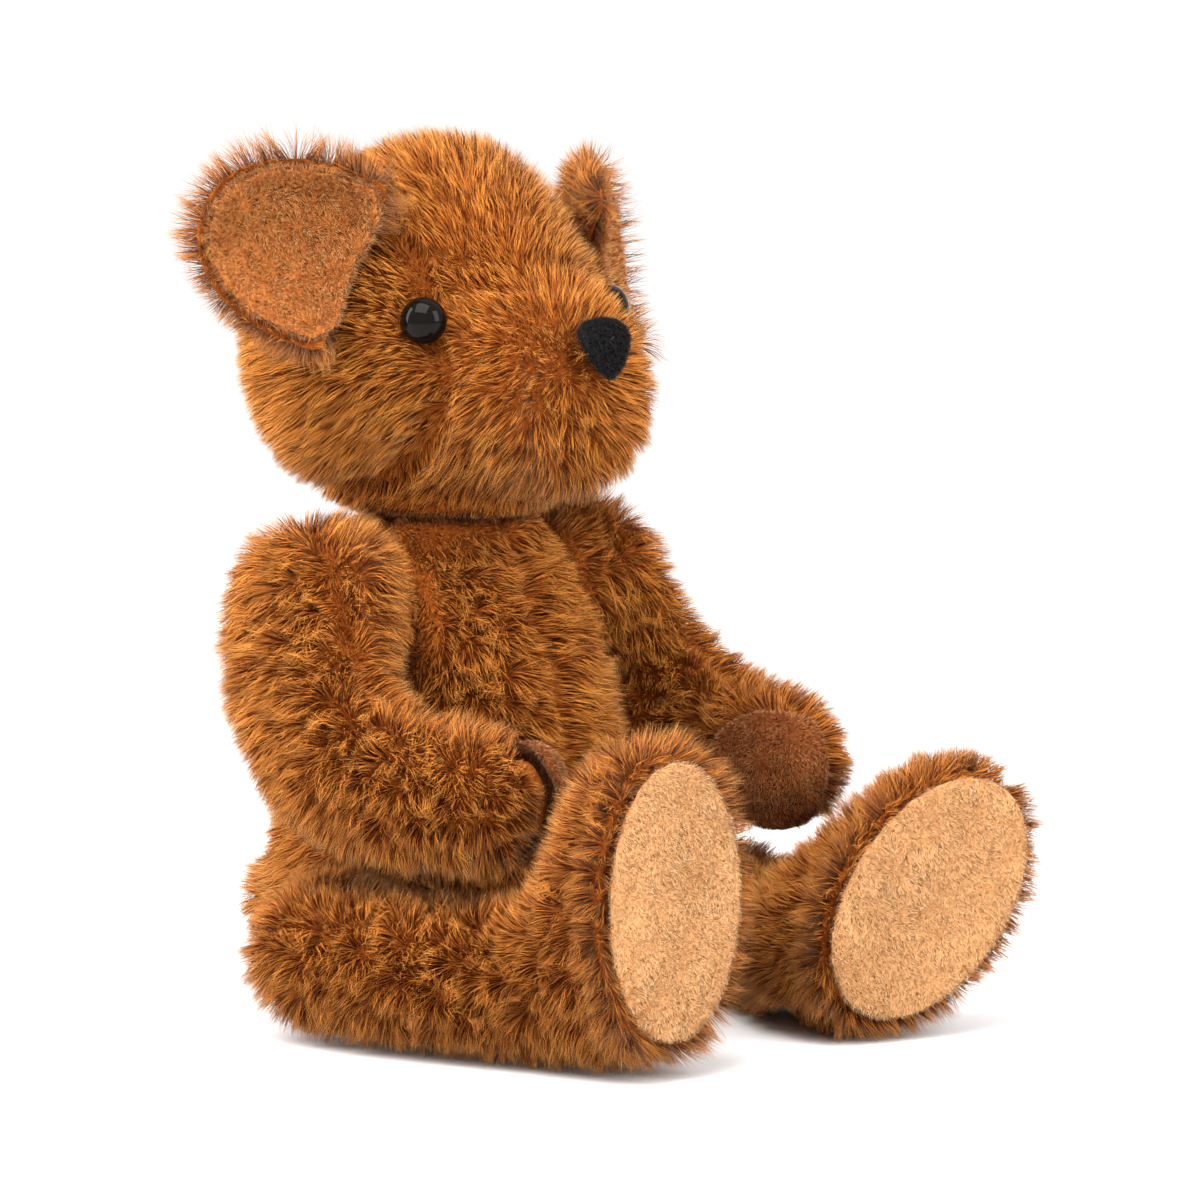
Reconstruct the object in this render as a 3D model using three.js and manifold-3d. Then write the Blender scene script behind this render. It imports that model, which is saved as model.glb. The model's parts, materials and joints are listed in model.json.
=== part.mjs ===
// A seated, disc-jointed teddy bear, in millimetres. It faces -Y, +Z is up and its left side is +X.
// Every fur cover is a shell of sewn panels over its own filling. The head, the arms and the legs
// turn on disc joints, whose hardware lies inside the covers.

import * as THREE from 'three';
import { mergeVertices } from 'three/addons/utils/BufferGeometryUtils.js';
import Module from 'manifold-3d';

const wasm = await Module();
wasm.setup();

// ---------------------------------------------------------------- driving dimensions

const gap = 0.3; // between pieces that touch
const slack = 0.9; // between a cover and its filling
const turnGap = 0.8; // between a moving cover and the cover that it turns on
const flatMargin = 6; // round a limb's flat, that stays clear of the body
const dishDepth = 25; // of the dish that a limb turns in, past its flat
const coverThickness = 3.2; // cloth and pressed pile
const reach = 400; // cutting blocks reach past everything

// Each stuffed shape is a row of stations along its middle line: x, y and z of the line, then half
// the width along X and half the height across the line. A sixth number is the share of its width
// that a section loses towards its top. A dome is the length of a rounded end.
const neckHeight = 165; // of the body's cover, which the head turns on

const torso = {
  stations: [
    [0, 1, -14, 44, 46],
    [0, 0, 12, 56, 56],
    [0, -3, 45, 59, 60],
    [0, -7, 80, 57, 60],
    [0, -7, neckHeight - 53, 51, 52],
    [0, -4, neckHeight - 22, 43, 40],
    [0, -3, neckHeight + 13, 35, 33],
  ],
  startDome: 30,
  endDome: 26,
  rings: 11,
  segments: 20,
};
const sideSeam = -4; // y of the seams between the body's front and back panels

const head = {
  lift: neckHeight, // of the stations' zero height
  stations: [
    [0, 67, 56, 52, 48, 0],
    [0, 36, 58, 69, 64, 0],
    [0, 4, 61, 73, 67, 0.12],
    [0, -24, 60, 60, 62, 0.3],
    [0, -46, 51, 46, 47, 0.34],
    [0, -62, 44, 40, 38, 0.1],
    [0, -81, 36, 31, 30, 0],
  ],
  upright: true, // its sections stand straight up
  startDome: 52,
  endDome: 20,
  rings: 13,
  segments: 20,
};
const headMiddle = new THREE.Vector3(0, 0, neckHeight + 61);
const neckRadius = 33; // of the flats that the head turns on
const neckDiscRadius = 17;
// Half-width of the head's centre panel, from the muzzle to the back of the head: y, half-width.
const centrePanel = [
  [-100, 60],
  [-53, 60],
  [-46, 43],
  [-24, 39],
  [0, 40],
  [35, 30],
  [80, 12],
];

const arm = {
  lift: neckHeight,
  stations: [
    [61, 0, 7, 18, 27],
    [62, -3, -16, 21, 35],
    [67, -9, -41, 24, 37],
    [76, -24, -65, 24, 34],
    [78, -48, -78, 24, 29],
    [74, -74, -81, 24, 27],
    [69, -97, -81, 22, 26],
    [64, -121, -77, 16, 20],
  ],
  startDome: 22,
  endDome: 24,
  rings: 11,
  segments: 14,
};
// A joint's axis along X: its y and z, how far out the body's cover is there, the radius of the
// flats that bear on each other, how fast the body's dish widens round them, and the discs' radius.
const shoulderRadius = 28;
const shoulder = {
  y: -5,
  z: neckHeight + 1 - shoulderRadius,
  face: 37,
  radius: shoulderRadius,
  flare: 2.2,
  discRadius: 13,
};

const leg = {
  stations: [
    [77, 4, 28, 22, 24],
    [78, -18, 28, 26, 27.5],
    [77, -50, 27.5, 26, 27.5],
    [73, -76, 27.5, 26, 27.5],
    [67, -98, 27.5, 26, 27.5],
    [63, -114, 29, 28, 29.5],
    [61, -126, 38, 31, 39],
    [60, -136, 50, 33, 51],
    [60, -148, 57, 35.5, 56.5],
    [60, -168, 56, 31.5, 46],
  ],
  startDome: 24,
  endDome: 0,
  openEnd: true,
  upright: true, // its sections stand straight up
  front: -163, // where the sole is sewn in
  rings: 12,
  segments: 14,
};
const hip = { y: -15, z: 29, face: 49.5, radius: 25, flare: 0.6, discRadius: 13 };
// One foot leans outwards: degrees, where the lean begins and ends, and the lines it is about.
const lean = {
  side: 'left',
  angle: 42,
  turn: 17, // of the toes, back towards the middle
  startY: -60,
  endY: -130,
  axisX: 55,
  axisY: -120,
  axisZ: 46,
  shiftX: 6,
  shiftZ: -4.5,
};

const sole = { halfWidth: 31, halfHeight: 46, thickness: 5, drop: -1 };
const pad = { y: -97, z: neckHeight - 83, halfLength: 25, halfWidth: 20, tilt: 10 };

const tail = {
  stations: [
    [0, 46, 30, 20, 20],
    [0, 66, 29, 20, 20],
    [0, 92, 28, 17, 18],
  ],
  startDome: 0,
  endDome: 18,
  rings: 8,
  segments: 12,
};

const ear = {
  drop: { left: 8, right: 0 }, // one ear is sewn on lower
  rootFrom: [60, 3, 26], // from the middle of the head towards the middle of the ear's root
  rootTo: [35, 13, 18], // from the root towards the rim
  facing: [0.36, -0.92, 0.05],
  halfWidth: 31,
  height: 38,
  rootDepth: 14,
  bowlRadius: 46,
  backThickness: 4.2,
  liningThickness: 2.6,
  liningInset: 4,
};

const eye = {
  from: [39, -33, 5.4], // from the middle of the head
  radius: 7.5,
  height: 6,
  sunk: 1,
  shankRadius: 2.2,
  shankLength: 10,
  washerRadius: 6,
  washerThickness: 1.6,
};

const nose = { y: -78, z: neckHeight + 59, halfWidth: 12, halfHeight: 9.5, thickness: 2.4, tilt: 42 };

const joint = {
  discThickness: 3,
  stemRadius: 3.5,
  stemTail: 2, // of the stem past its lock ring
  washerThickness: 2.4,
  ringRadius: 8,
  ringThickness: 2.2,
  clearance: 0.6, // round the stem
};

// ---------------------------------------------------------------- looks

const looks = {
  fur: { color: '#b9783d', roughness: 0.95 },
  pile: { color: '#d3ab80', roughness: 0.95 },
  lining: { color: '#c58a56', roughness: 0.95 },
  pad: { color: '#8f5a36', roughness: 0.95 },
  nose: { color: '#1c1b1e', roughness: 0.8 },
  eye: { color: '#060606', roughness: 0.05 },
  filling: { color: '#ece9e2', roughness: 1 },
  hardware: { color: '#dcdcd4', roughness: 0.5 },
};

// ---------------------------------------------------------------- solids

function toSolid(geometry) {
  const plain = geometry.clone();
  plain.deleteAttribute('normal');
  plain.deleteAttribute('uv');
  const merged = mergeVertices(plain, 1e-4);
  const corners = merged.index.array;
  const triangles = [];
  for (let i = 0; i < corners.length; i += 3) {
    const [a, b, c] = corners.slice(i, i + 3);
    if (a !== b && b !== c && c !== a) triangles.push(a, b, c);
  }
  const mesh = new wasm.Mesh({
    numProp: 3,
    vertProperties: new Float32Array(merged.attributes.position.array),
    triVerts: new Uint32Array(triangles),
  });
  return new wasm.Manifold(mesh);
}

function toGeometry(solid) {
  const mesh = solid.getMesh();
  const geometry = new THREE.BufferGeometry();
  geometry.setAttribute('position', new THREE.BufferAttribute(mesh.vertProperties, 3));
  geometry.setIndex(new THREE.BufferAttribute(mesh.triVerts, 1));
  geometry.computeVertexNormals();
  return geometry;
}

function block(low, high) {
  const size = high.map((value, i) => value - low[i]);
  const middle = high.map((value, i) => (value + low[i]) / 2);
  return toSolid(new THREE.BoxGeometry(...size).translate(...middle));
}

// Everything on one side of a plane across an axis (0, 1 or 2), above or below a value.
function above(axis, value) {
  const low = [-reach, -reach, -reach];
  low[axis] = value;
  return block(low, [reach, reach, reach]);
}

function below(axis, value) {
  const high = [reach, reach, reach];
  high[axis] = value;
  return block([-reach, -reach, -reach], high);
}

// A shape drawn along +Y from the origin, turned to a direction and moved to a place.
function place(geometry, origin, direction) {
  const drawn = new THREE.Vector3(0, 1, 0);
  geometry.applyQuaternion(new THREE.Quaternion().setFromUnitVectors(drawn, direction));
  return geometry.translate(origin.x, origin.y, origin.z);
}

// A round rod along a direction, between two distances from its origin. It may widen on its way.
function rod(origin, direction, radius, from, to, sides = 16, endRadius = radius) {
  const geometry = new THREE.CylinderGeometry(endRadius, radius, to - from, sides);
  return toSolid(place(geometry.translate(0, (from + to) / 2, 0), origin, direction));
}

// A flat outline drawn in the plane of `across` and `upward`, extruded along their normal.
function prism(outline, origin, across, upward, from, to) {
  const settings = { depth: to - from, bevelEnabled: false, curveSegments: 8 };
  const geometry = new THREE.ExtrudeGeometry(outline, settings).translate(0, 0, from);
  const normal = new THREE.Vector3().crossVectors(across, upward);
  geometry.applyMatrix4(new THREE.Matrix4().makeBasis(across, upward, normal));
  return toSolid(geometry.translate(origin.x, origin.y, origin.z));
}

// A prism drawn in plan, as a list of x and y, that runs the whole height.
function planPrism(points) {
  const outline = new THREE.Shape(points.map(([x, y]) => new THREE.Vector2(x, y)));
  const along = new THREE.Vector3(1, 0, 0);
  return prism(outline, new THREE.Vector3(), along, new THREE.Vector3(0, 1, 0), -reach, reach);
}

function oval(halfWidth, halfHeight) {
  return new THREE.Shape().absellipse(0, 0, halfWidth, halfHeight, 0, 2 * Math.PI);
}

// ---------------------------------------------------------------- stuffed shapes

// The middle line and the half-sizes of a stuffed shape, as curves over the same stations.
function curvesOf(spec, side) {
  const lift = spec.lift ?? 0;
  const places = spec.stations.map(([x, y, z]) => new THREE.Vector3(x * side, y, lift + z));
  const sizes = spec.stations.map((station) => new THREE.Vector2(station[3], station[4]));
  const tapers = spec.stations.map((station) => new THREE.Vector2(station[5] ?? 0, 0));
  return {
    line: new THREE.CatmullRomCurve3(places, false, 'catmullrom'),
    sizes: new THREE.SplineCurve(sizes),
    tapers: new THREE.SplineCurve(tapers),
  };
}

// How full a section is at a distance from a rounded end.
function fullness(distance, dome) {
  if (distance >= dome) return 1;
  return Math.sqrt(Math.max(0, 1 - (1 - distance / dome) ** 2));
}

// A closed surface of oval sections along the line, rounded at its ends and drawn in by `inset`
// all over. An open end isn't drawn in.
function stuffed(spec, side = 1, inset = 0) {
  const { startDome, endDome, rings, segments } = spec;
  const { line, sizes, tapers } = curvesOf(spec, side);
  const length = line.getLength();
  const first = inset / length;
  const last = spec.openEnd ? 1 : 1 - inset / length;
  const across = new THREE.Vector3(1, 0, 0);
  const points = [];
  for (let ring = 0; ring <= rings; ring += 1) {
    const even = ring / rings;
    const crowded = (1 - Math.cos(Math.PI * even)) / 2; // closer rings where the ends round off
    const t = first + (last - first) * (even + crowded) * 0.5;
    const onLine = THREE.MathUtils.clamp(t, 0, 1);
    const along = line.getTangent(onLine);
    const middle = line.getPoint(onLine).addScaledVector(along, (t - onLine) * length);
    const upward = new THREE.Vector3().crossVectors(along, across).normalize();
    if (spec.upright) upward.set(0, 0, 1);
    const round = fullness((t - first) * length, startDome) * fullness((last - t) * length, endDome);
    const half = sizes.getPoint(onLine).subScalar(inset).multiplyScalar(round);
    const taper = tapers.getPoint(onLine).x;
    for (let step = 0; step < segments; step += 1) {
      const angle = (2 * Math.PI * step) / segments;
      const width = half.x * (1 - taper * Math.max(0, Math.sin(angle)));
      const point = middle.clone().addScaledVector(across, width * Math.cos(angle));
      points.push(point.addScaledVector(upward, half.y * Math.sin(angle)));
    }
  }
  return closedSkin(points, rings, segments);
}

// Joins rings of points with triangles and closes both ends round a middle point.
function closedSkin(points, rings, segments) {
  const triangles = [];
  const ends = [0, rings * segments].map((start) => {
    const middle = new THREE.Vector3();
    points.slice(start, start + segments).forEach((point) => middle.add(point));
    return middle.divideScalar(segments);
  });
  const count = points.length;
  points.push(...ends);
  for (let step = 0; step < segments; step += 1) {
    const next = (step + 1) % segments;
    for (let start = 0; start < rings * segments; start += segments) {
      const [a, b] = [start + step, start + next];
      triangles.push(a, b, a + segments, b, b + segments, a + segments);
    }
    const lastRing = rings * segments;
    triangles.push(count, next, step, count + 1, lastRing + step, lastRing + next);
  }
  return new THREE.BufferGeometry().setFromPoints(points).setIndex(triangles);
}

// A stuffed part: its cover as a shell, and the filling inside that. `trim` gives a solid its
// flats, each set back by the same inset.
function stuffedPart(spec, side, trim) {
  const layer = (inset) => trim(toSolid(stuffed(spec, side, inset)), inset);
  return {
    cover: layer(0).subtract(layer(coverThickness)),
    filling: layer(coverThickness + slack),
  };
}

// Where a ray from inside a surface leaves it, with the outward direction there.
function leaves(geometry, origin, direction) {
  const probe = new THREE.Mesh(geometry, new THREE.MeshBasicMaterial({ side: THREE.DoubleSide }));
  const hits = new THREE.Raycaster(origin, direction).intersectObject(probe);
  const hit = hits[hits.length - 1];
  const outward = hit.face.normal.clone();
  if (outward.dot(direction) < 0) outward.negate();
  return { point: hit.point, outward };
}

// ---------------------------------------------------------------- naming and adding pieces

const model = new THREE.Group();
const sides = { left: 1, right: -1 };

function addPiece(name, solid, look) {
  const material = new THREE.MeshStandardMaterial({ metalness: 0, ...looks[look] });
  const mesh = new THREE.Mesh(toGeometry(solid), material);
  mesh.name = name;
  model.add(mesh);
}

// ---------------------------------------------------------------- disc joints

// Each joint's axis leaves the body's cover at `face` and points into the moving part.
const neckJoint = {
  face: new THREE.Vector3(0, torso.stations[5][1], neckHeight),
  axis: new THREE.Vector3(0, 0, 1),
  discRadius: neckDiscRadius,
};

function limbJoint(socket, side) {
  return {
    face: new THREE.Vector3(side * socket.face, socket.y, socket.z),
    axis: new THREE.Vector3(side, 0, 0),
    discRadius: socket.discRadius,
  };
}

// Where each piece lies along the axis, from the face of the body's cover.
function jointLayout() {
  const discFrom = turnGap + coverThickness + gap;
  const discTo = discFrom + joint.discThickness;
  const washerTo = -coverThickness - gap;
  const washerFrom = washerTo - joint.washerThickness;
  const ringTo = washerFrom - gap;
  const ringFrom = ringTo - joint.ringThickness;
  return { discFrom, discTo, washerFrom, washerTo, ringFrom, ringTo, end: ringFrom - joint.stemTail };
}

function addJoint({ face, axis, discRadius }, name, suffix) {
  const at = jointLayout();
  const { stemRadius, ringRadius, clearance } = joint;
  const plate = rod(face, axis, discRadius, at.discFrom, at.discTo);
  const stem = rod(face, axis, stemRadius, at.end, at.discTo);
  const washer = rod(face, axis, discRadius, at.washerFrom, at.washerTo);
  const ring = rod(face, axis, ringRadius, at.ringFrom, at.ringTo);
  const washerBore = rod(face, axis, stemRadius + clearance, -reach, reach);
  const ringBore = rod(face, axis, stemRadius + gap, -reach, reach);
  addPiece(`${name}_disc${suffix}`, plate.add(stem), 'hardware');
  addPiece(`${name}_washer${suffix}`, washer.subtract(washerBore), 'hardware');
  addPiece(`${name}_lock_ring${suffix}`, ring.subtract(ringBore), 'hardware');
}

// The room a joint's disc takes in the moving part's filling.
function discRoom({ face, axis, discRadius }) {
  return rod(face, axis, discRadius + gap, 0, jointLayout().discTo + gap);
}

// The room a joint's washer, ring and stem take in the body's filling.
function washerRoom({ face, axis, discRadius }) {
  const at = jointLayout();
  const wide = rod(face, axis, discRadius + gap, at.washerFrom - gap, 0);
  return wide.add(rod(face, axis, joint.ringRadius + joint.clearance, at.end - joint.clearance, 0));
}

// The hole a joint's stem goes through in the two covers.
function stemHole({ face, axis }) {
  const depth = turnGap + 2 * coverThickness;
  return rod(face, axis, joint.stemRadius + joint.clearance, -depth, depth);
}

// ---------------------------------------------------------------- body

const limbJoints = Object.values(sides).flatMap((side) => [
  limbJoint(shoulder, side),
  limbJoint(hip, side),
]);

// Flats for the seat, the neck, the shoulders and the hips.
function trimTorso(solid, inset) {
  let trimmed = solid.intersect(above(2, inset)).intersect(below(2, neckHeight - inset));
  for (const side of Object.values(sides)) {
    for (const socket of [shoulder, hip]) {
      const { face, axis } = limbJoint(socket, side);
      const radius = socket.radius + turnGap + inset;
      const wide = radius + socket.flare * dishDepth;
      trimmed = trimmed.subtract(rod(face, axis, radius, -inset, dishDepth - inset, 20, wide));
    }
  }
  return trimmed;
}

function addBody() {
  const part = stuffedPart(torso, 1, trimTorso);
  const joints = [neckJoint, ...limbJoints];
  const cover = joints.reduce((solid, each) => solid.subtract(stemHole(each)), part.cover);
  const filling = joints.reduce((solid, each) => solid.subtract(washerRoom(each)), part.filling);
  const halves = { front: below(1, sideSeam - gap / 2), back: above(1, sideSeam + gap / 2) };
  for (const [end, half] of Object.entries(halves)) {
    addPiece(`body_${end}_left`, cover.intersect(half).intersect(above(0, gap / 2)), 'fur');
    addPiece(`body_${end}_right`, cover.intersect(half).intersect(below(0, -gap / 2)), 'fur');
  }
  addPiece('body_filling', filling, 'filling');
  addTail();
}

// The tail is open where it is sewn to the body.
function addTail() {
  const part = stuffedPart(tail, 1, (solid) => solid);
  const body = toSolid(stuffed(torso, 1, -gap));
  addPiece('tail_cover', part.cover.subtract(body), 'fur');
  addPiece('tail_filling', part.filling.subtract(body), 'filling');
}

// ---------------------------------------------------------------- head

function trimHead(solid, inset) {
  const base = neckHeight + turnGap + inset;
  const neck = new THREE.Vector3(0, neckJoint.face.y, 0);
  const boss = rod(neck, neckJoint.axis, neckRadius - inset, neckHeight, headMiddle.z, 20);
  return solid.add(boss).intersect(above(2, base));
}

// The middle of the head in plan, as wide as the centre panel less an amount on each side.
function panelPrism(less) {
  const rightEdge = centrePanel.map(([y, half]) => [less - half, y]);
  const leftEdge = centrePanel.map(([y, half]) => [half - less, y]).reverse();
  return planPrism([...rightEdge, ...leftEdge]);
}

const headSurface = stuffed(head);

function eyeMount(side) {
  const direction = new THREE.Vector3(side * eye.from[0], eye.from[1], eye.from[2]).normalize();
  return { origin: leaves(headSurface, headMiddle, direction).point, direction };
}

// A domed button on a shank that goes in through the cover.
function eyeSolid({ origin, direction }) {
  const { radius, height, sunk, shankRadius, shankLength } = eye;
  const profile = [new THREE.Vector2(0, -sunk - shankLength)];
  profile.push(new THREE.Vector2(shankRadius, -sunk - shankLength));
  profile.push(new THREE.Vector2(shankRadius, -sunk), new THREE.Vector2(radius - 0.5, -sunk));
  const arcSteps = 5;
  for (let step = 0; step <= arcSteps; step += 1) {
    const angle = (Math.PI / 2) * (step / arcSteps);
    profile.push(new THREE.Vector2(radius * Math.cos(angle), height * Math.sin(angle)));
  }
  profile[profile.length - 1].x = 0;
  return toSolid(place(new THREE.LatheGeometry(profile, 16), origin, direction));
}

function addHead() {
  const part = stuffedPart(head, 1, trimHead);
  let cover = part.cover.subtract(stemHole(neckJoint));
  let filling = part.filling.subtract(discRoom(neckJoint));
  const washerTo = -coverThickness - gap - 1;
  const washerFrom = washerTo - eye.washerThickness;
  for (const [name, side] of Object.entries(sides)) {
    const { origin, direction } = eyeMount(side);
    const seat = rod(origin, direction, eye.radius + gap, -eye.sunk - gap, eye.radius);
    const hole = rod(origin, direction, eye.shankRadius + gap, -eye.shankLength - 2, 0);
    const shankEnd = -eye.sunk - eye.shankLength - gap;
    const room = rod(origin, direction, eye.washerRadius + gap, shankEnd, 0);
    const washer = rod(origin, direction, eye.washerRadius, washerFrom, washerTo);
    cover = cover.subtract(seat).subtract(hole);
    filling = filling.subtract(room);
    addPiece(`eye_${name}`, eyeSolid({ origin, direction }), 'eye');
    addPiece(`eye_washer_${name}`, washer.subtract(hole), 'hardware');
    addEar(name, side);
  }
  addPiece('head_centre', cover.intersect(panelPrism(gap / 2)), 'fur');
  const outer = cover.subtract(panelPrism(-gap / 2));
  addPiece('head_side_left', outer.intersect(above(0, 0)), 'fur');
  addPiece('head_side_right', outer.intersect(below(0, 0)), 'fur');
  addPiece('head_filling', filling, 'filling');
  addNose();
}

// A rounded triangle, wide at the top, that lies on the muzzle.
function addNose() {
  const { halfWidth, halfHeight, thickness, tilt } = nose;
  const outline = new THREE.Shape();
  outline.moveTo(0, halfHeight);
  outline.quadraticCurveTo(halfWidth, halfHeight, halfWidth, halfHeight * 0.35);
  outline.quadraticCurveTo(halfWidth * 0.75, -halfHeight * 0.6, 0, -halfHeight);
  outline.quadraticCurveTo(-halfWidth * 0.75, -halfHeight * 0.6, -halfWidth, halfHeight * 0.35);
  outline.quadraticCurveTo(-halfWidth, halfHeight, 0, halfHeight);
  const angle = THREE.MathUtils.degToRad(tilt);
  const across = new THREE.Vector3(1, 0, 0);
  const upward = new THREE.Vector3(0, Math.sin(angle), Math.cos(angle));
  const origin = new THREE.Vector3(0, nose.y, nose.z);
  const patch = prism(outline, origin, across, upward, -20, 20);
  const skin = toSolid(stuffed(head, 1, -gap - thickness)).subtract(toSolid(stuffed(head, 1, -gap)));
  addPiece('nose', skin.intersect(patch), 'nose');
}

// A cupped half-round: a shell of a ball, cut to the ear's outline and to the head's surface.
function addEar(name, side) {
  const mirrored = ([x, y, z]) => new THREE.Vector3(side * x, y, z).normalize();
  const facing = mirrored(ear.facing);
  const outward = mirrored(ear.rootTo);
  outward.addScaledVector(facing, -outward.dot(facing)).normalize();
  const across = new THREE.Vector3().crossVectors(outward, facing);
  const [rootX, rootY, rootZ] = ear.rootFrom;
  const towardsRoot = mirrored([rootX, rootY, rootZ - ear.drop[name]]);
  const root = leaves(headSurface, headMiddle, towardsRoot).point;
  const deepest = root.clone().addScaledVector(outward, ear.height / 2);
  const ballMiddle = deepest.clone().addScaledVector(facing, ear.bowlRadius);
  const ball = (radius) => toSolid(new THREE.SphereGeometry(radius, 22, 13).translate(...ballMiddle));
  const cut = (inset) => {
    const halfWidth = ear.halfWidth - inset;
    const outline = new THREE.Shape();
    outline.moveTo(-halfWidth, -ear.rootDepth);
    outline.lineTo(halfWidth, -ear.rootDepth);
    outline.absellipse(0, 0, halfWidth, ear.height - inset, 0, Math.PI);
    return prism(outline, root, across, outward, -ear.bowlRadius / 2, ear.bowlRadius / 2);
  };
  const { bowlRadius, backThickness, liningThickness } = ear;
  const back = ball(bowlRadius + backThickness).subtract(ball(bowlRadius));
  const lining = ball(bowlRadius - gap).subtract(ball(bowlRadius - gap - liningThickness));
  const headOutside = toSolid(stuffed(head, 1, -gap));
  addPiece(`ear_back_${name}`, back.intersect(cut(0)).subtract(headOutside), 'fur');
  addPiece(`ear_lining_${name}`, lining.intersect(cut(ear.liningInset)).subtract(headOutside), 'lining');
}

// ---------------------------------------------------------------- arms and legs

// Everything on the body's side of a limb's middle line, drawn in plan, moved outwards by an amount.
function innerPrism(spec, side, moved) {
  const line = spec.stations.map(([x, y]) => [side * (x + moved), y]);
  const [first, last] = [line[0], line[line.length - 1]];
  return planPrism([[first[0], reach], ...line, [last[0], -reach], [-side * reach, -reach], [-side * reach, reach]]);
}

// A limb's flat, where it turns on the body.
function trimLimb(socket, side) {
  return (solid, inset) => {
    const { face: origin, axis } = limbJoint(socket, side);
    const boss = rod(origin, axis, socket.radius - inset, 0, 20, 20);
    const clear = rod(origin, axis, socket.radius + flatMargin, -reach, turnGap + inset, 20);
    return solid.add(boss).subtract(clear);
  };
}

function addArm(name, side) {
  const joints = limbJoint(shoulder, side);
  const part = stuffedPart(arm, side, trimLimb(shoulder, side));
  const cover = part.cover.subtract(stemHole(joints));
  const angle = THREE.MathUtils.degToRad(pad.tilt);
  const along = new THREE.Vector3(0, -Math.cos(angle), Math.sin(angle));
  const upward = new THREE.Vector3(0, Math.sin(angle), Math.cos(angle));
  const origin = new THREE.Vector3(side * arm.stations[6][0], pad.y, pad.z);
  const palm = (less) => {
    const outline = oval(pad.halfLength - less, pad.halfWidth - less);
    const prismBoth = prism(outline, origin, along, upward, -60, 60);
    return prismBoth.intersect(innerPrism(arm, side, -gap / 2 - 2));
  };
  const inner = cover.intersect(innerPrism(arm, side, -gap / 2));
  addPiece(`arm_outer_${name}`, cover.subtract(innerPrism(arm, side, gap / 2)), 'fur');
  addPiece(`arm_inner_${name}`, inner.subtract(palm(-gap)), 'fur');
  addPiece(`paw_pad_${name}`, inner.intersect(palm(0)), 'pad');
  addPiece(`arm_filling_${name}`, part.filling.subtract(discRoom(joints)), 'filling');
}

// Leans the foot of a leg outwards, more and more from where the lean begins to where it ends.
function leaned(solid, side) {
  const geometry = toGeometry(solid);
  const position = geometry.attributes.position;
  for (let i = 0; i < position.count; i += 1) {
    const share = THREE.MathUtils.smoothstep(-position.getY(i), -lean.startY, -lean.endY);
    const angle = share * THREE.MathUtils.degToRad(lean.angle);
    const x = side * position.getX(i) - lean.axisX;
    const z = position.getZ(i) - lean.axisZ;
    const rolledX = x * Math.cos(angle) + z * Math.sin(angle);
    const rolledZ = z * Math.cos(angle) - x * Math.sin(angle);
    const y = position.getY(i) - lean.axisY;
    const turn = share * THREE.MathUtils.degToRad(lean.turn);
    const turnedX = rolledX * Math.cos(turn) + y * Math.sin(turn);
    const turnedY = y * Math.cos(turn) - rolledX * Math.sin(turn);
    position.setX(i, side * (lean.axisX + turnedX + share * lean.shiftX));
    position.setY(i, lean.axisY + turnedY);
    position.setZ(i, lean.axisZ + rolledZ + share * lean.shiftZ);
  }
  return toSolid(geometry);
}

// An oval plate with a soft edge, on the front of the foot.
function soleSolid(side) {
  const [x, , z] = leg.stations[leg.stations.length - 1];
  const profile = [[0, 0], [0.97, 0], [1, 0.3], [0.93, 0.68], [0.6, 0.93], [0, 1]];
  const points = profile.map(([radius, height]) => new THREE.Vector2(radius, height));
  const geometry = new THREE.LatheGeometry(points, 22).rotateX(Math.PI);
  geometry.scale(sole.halfWidth, sole.thickness, sole.halfHeight);
  return toSolid(geometry.translate(side * x, leg.front - gap, z - sole.drop));
}

function addLeg(name, side) {
  const joints = limbJoint(hip, side);
  const part = stuffedPart(leg, side, trimLimb(hip, side));
  const cover = part.cover.subtract(stemHole(joints)).intersect(above(1, leg.front));
  const filling = part.filling.subtract(discRoom(joints)).intersect(above(1, leg.front + gap));
  const shaped = name === lean.side ? (solid) => leaned(solid, side) : (solid) => solid;
  const finish = (solid) => shaped(solid).intersect(above(2, 0));
  addPiece(`leg_outer_${name}`, finish(cover.subtract(innerPrism(leg, side, gap / 2))), 'fur');
  addPiece(`leg_inner_${name}`, finish(cover.intersect(innerPrism(leg, side, -gap / 2))), 'fur');
  addPiece(`sole_${name}`, finish(soleSolid(side)), 'pile');
  addPiece(`leg_filling_${name}`, finish(filling), 'filling');
}

// ---------------------------------------------------------------- assembly

addBody();
addHead();
addJoint(neckJoint, 'neck', '');
for (const [name, side] of Object.entries(sides)) {
  addArm(name, side);
  addLeg(name, side);
  addJoint(limbJoint(shoulder, side), 'shoulder', `_${name}`);
  addJoint(limbJoint(hip, side), 'hip', `_${name}`);
}

// The origin is under the middle of the whole bear, on the surface that it sits on.
const bounds = new THREE.Box3().setFromObject(model);
model.position.x = -(bounds.min.x + bounds.max.x) / 2;
model.position.y = -(bounds.min.y + bounds.max.y) / 2;

export default model;
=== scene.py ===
# %% [markdown]
# # A jointed teddy bear in long plush
# The bear is a set of stuffed fur bags that turn on each other. This lesson dresses a plain
# engineering model of it: each bag becomes a soft form that was really blown up like a cushion,
# and its pile is grown on it hair by hair. The engineering model stays as the fixed frame, and
# everything is placed from it, in metres.

import json
from math import cos, pi, radians, sin

import bmesh
import bpy
import numpy as np
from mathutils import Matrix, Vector
from mathutils.bvhtree import BVHTree


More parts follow.
